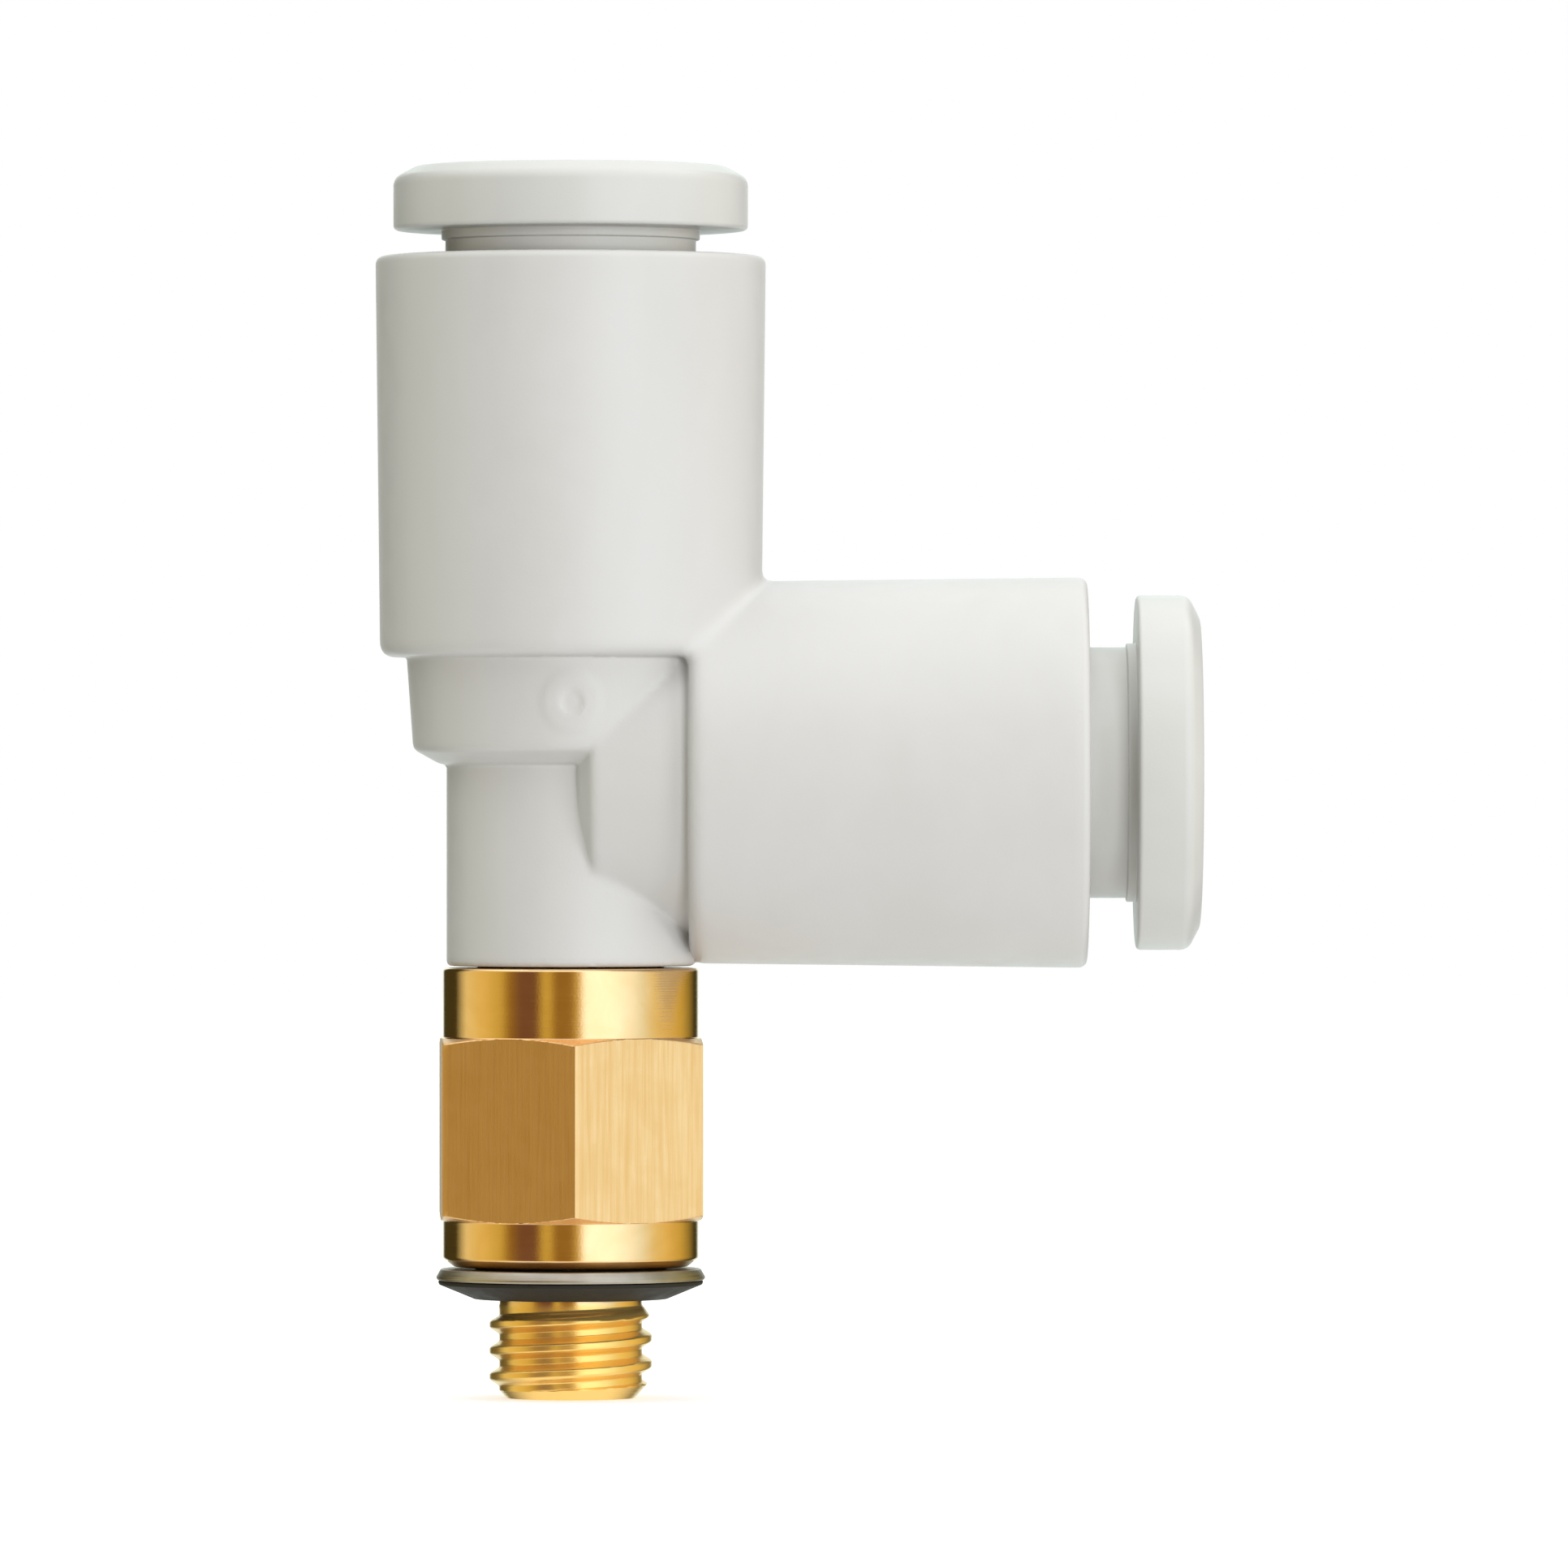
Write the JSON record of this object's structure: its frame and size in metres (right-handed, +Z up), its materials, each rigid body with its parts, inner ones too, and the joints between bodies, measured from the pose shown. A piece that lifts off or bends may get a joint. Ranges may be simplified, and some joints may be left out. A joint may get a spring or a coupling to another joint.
{
  "type": "push to connect fitting",
  "caption": "Male run tee push-in fitting: resin body that swivels on a brass M5 stud, with release buttons over 6 mm tube sockets and a bonded gasket.",
  "frame": {"origin": "on the stud's axis, in the plane where the gasket seals on the port", "axes": "+Z up the run axis, away from the thread; +X along the branch port's axis, out of its mouth"},
  "size_m": [0.0254, 0.012, 0.0379],
  "materials": {
    "body_resin": "satin moulded resin, light warm grey",
    "button_resin": "satin moulded acetal, light grey",
    "brass": "bright turned brass",
    "stainless": "stamped stainless",
    "plated_metal": "turned and plated",
    "rubber": "matt black nitrile",
    "inner_resin": "natural resin"
  },
  "bodies": {
    "stud_body": {"stud": "brass", "stud_o_ring": "rubber", "gasket_washer": "stainless", "gasket_seal": "rubber"},
    "tee_body": {"body": "body_resin", "stud_retaining_clip": "stainless", "run_tube_seal": "rubber", "run_seal_spacer": "inner_resin", "run_chuck": "stainless", "run_collet": "inner_resin", "run_guide_ring": "plated_metal", "branch_tube_seal": "rubber", "branch_seal_spacer": "inner_resin", "branch_chuck": "stainless", "branch_collet": "inner_resin", "branch_guide_ring": "plated_metal"},
    "run_button": {"run_release_button": "button_resin"},
    "branch_button": {"branch_release_button": "button_resin"}
  },
  "joints": [
    {"name": "body_swivel", "type": "hinge", "parent": "stud_body", "child": "tee_body", "pos_m": [0, 0, 0.0122], "axis": [0, 0, 1], "continuous": true},
    {"name": "run_button_slide", "type": "slide", "parent": "tee_body", "child": "run_button", "axis": [0, 0, -1], "range_m": [-0.0007, 0.00075]},
    {"name": "branch_button_slide", "type": "slide", "parent": "tee_body", "child": "branch_button", "axis": [-1, 0, 0], "range_m": [0, 0.00145]}
  ]
}
